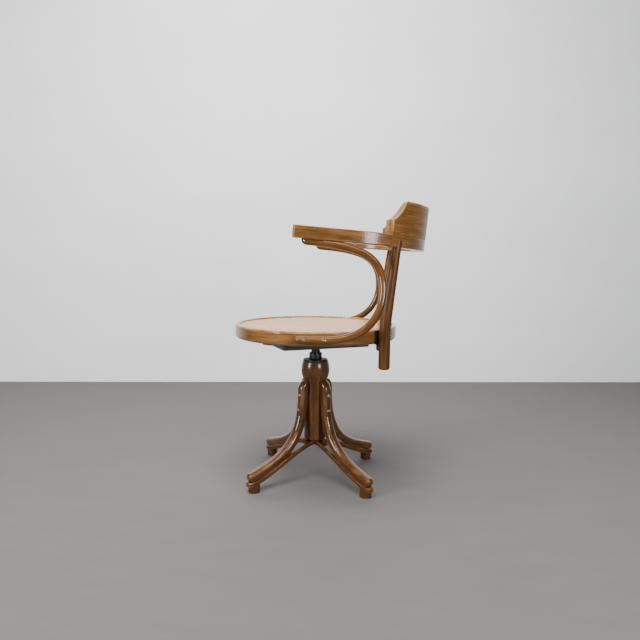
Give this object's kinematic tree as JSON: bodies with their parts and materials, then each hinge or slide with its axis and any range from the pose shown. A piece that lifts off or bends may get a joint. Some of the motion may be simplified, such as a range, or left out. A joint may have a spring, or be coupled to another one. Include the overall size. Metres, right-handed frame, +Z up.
{
  "type": "swivel armchair",
  "caption": "Bentwood swivel armchair: round seat, tub back rail with crest and bent arm supports, on a turned column with four bent legs and a steel screw spindle.",
  "frame": {"origin": "on the floor, under the middle of the chair's outline; the axis of the column stands 40 mm in front of it", "axes": "+Z up, -Y the way the sitter faces, +X the sitter's left"},
  "size_m": [0.4818, 0.5307, 0.761],
  "materials": {
    "beech": "brown stained beech, glossy lacquer",
    "dark_beech": "dark brown stained beech, glossy lacquer",
    "panel_ply": "brown stained plywood, glossy lacquer",
    "black_wood": "black stained wood, satin",
    "black_steel": "black enamel, semi-gloss",
    "zinc_steel": "tarnished steel"
  },
  "bodies": {
    "base": {"brace_lower": "dark_beech", "brace_upper": "dark_beech", "crossing_screw": "zinc_steel", "foot_front_left": "dark_beech", "foot_front_right": "dark_beech", "foot_rear_left": "dark_beech", "foot_rear_right": "dark_beech", "guide_key": "zinc_steel", "guide_tube": "zinc_steel", "hub": "beech", "hub_plate": "black_steel", "leg_front_left": "dark_beech", "leg_front_left_screw_1": "zinc_steel", "leg_front_left_screw_2": "zinc_steel", "leg_front_right": "dark_beech", "leg_front_right_screw_1": "zinc_steel", "leg_front_right_screw_2": "zinc_steel", "leg_rear_left": "dark_beech", "leg_rear_left_screw_1": "zinc_steel", "leg_rear_left_screw_2": "zinc_steel", "leg_rear_right": "dark_beech", "leg_rear_right_screw_1": "zinc_steel", "leg_rear_right_screw_2": "zinc_steel", "plate_screw_1": "black_steel", "plate_screw_2": "black_steel", "plate_screw_3": "black_steel"},
    "nut": {"collar_nut": "black_steel"},
    "screw": {"spindle": "black_steel", "thrust_washer": "zinc_steel", "retaining_clip": "zinc_steel"},
    "seat": {"arm_dowel_left": "beech", "arm_dowel_right": "beech", "arm_left": "beech", "arm_right": "beech", "arm_screw_left": "zinc_steel", "arm_screw_right": "zinc_steel", "arm_support_left": "beech", "arm_support_right": "beech", "back_rail": "beech", "crest": "beech", "post_left": "beech", "post_right": "beech", "post_screw_left": "black_steel", "post_screw_right": "black_steel", "post_spacer_left": "black_wood", "post_spacer_right": "black_wood", "seat_panel": "panel_ply", "seat_ring": "beech", "seat_spider": "black_steel", "spider_screw_1": "black_steel", "spider_screw_2": "black_steel", "spider_screw_3": "black_steel", "spider_screw_4": "black_steel", "support_screw_left_1": "zinc_steel", "support_screw_left_2": "zinc_steel", "support_screw_right_1": "zinc_steel", "support_screw_right_2": "zinc_steel", "swivel_socket": "black_steel"}
  },
  "joints": [
    {"name": "spindle_rise", "type": "slide", "parent": "base", "child": "screw", "axis": [0, 0, 1], "range_m": [0, 0.09]},
    {"name": "nut_turn", "type": "hinge", "parent": "base", "child": "nut", "pos_m": [0, -0.0404, 0.3535], "axis": [0, 0, 1], "continuous": true},
    {"name": "seat_swivel", "type": "hinge", "parent": "screw", "child": "seat", "pos_m": [0, -0.0404, 0.3816], "axis": [0, 0, 1], "continuous": true}
  ],
  "couplings": [
    {"joint": "nut_turn", "follows": "spindle_rise", "rad_per_m": 1047.2}
  ]
}
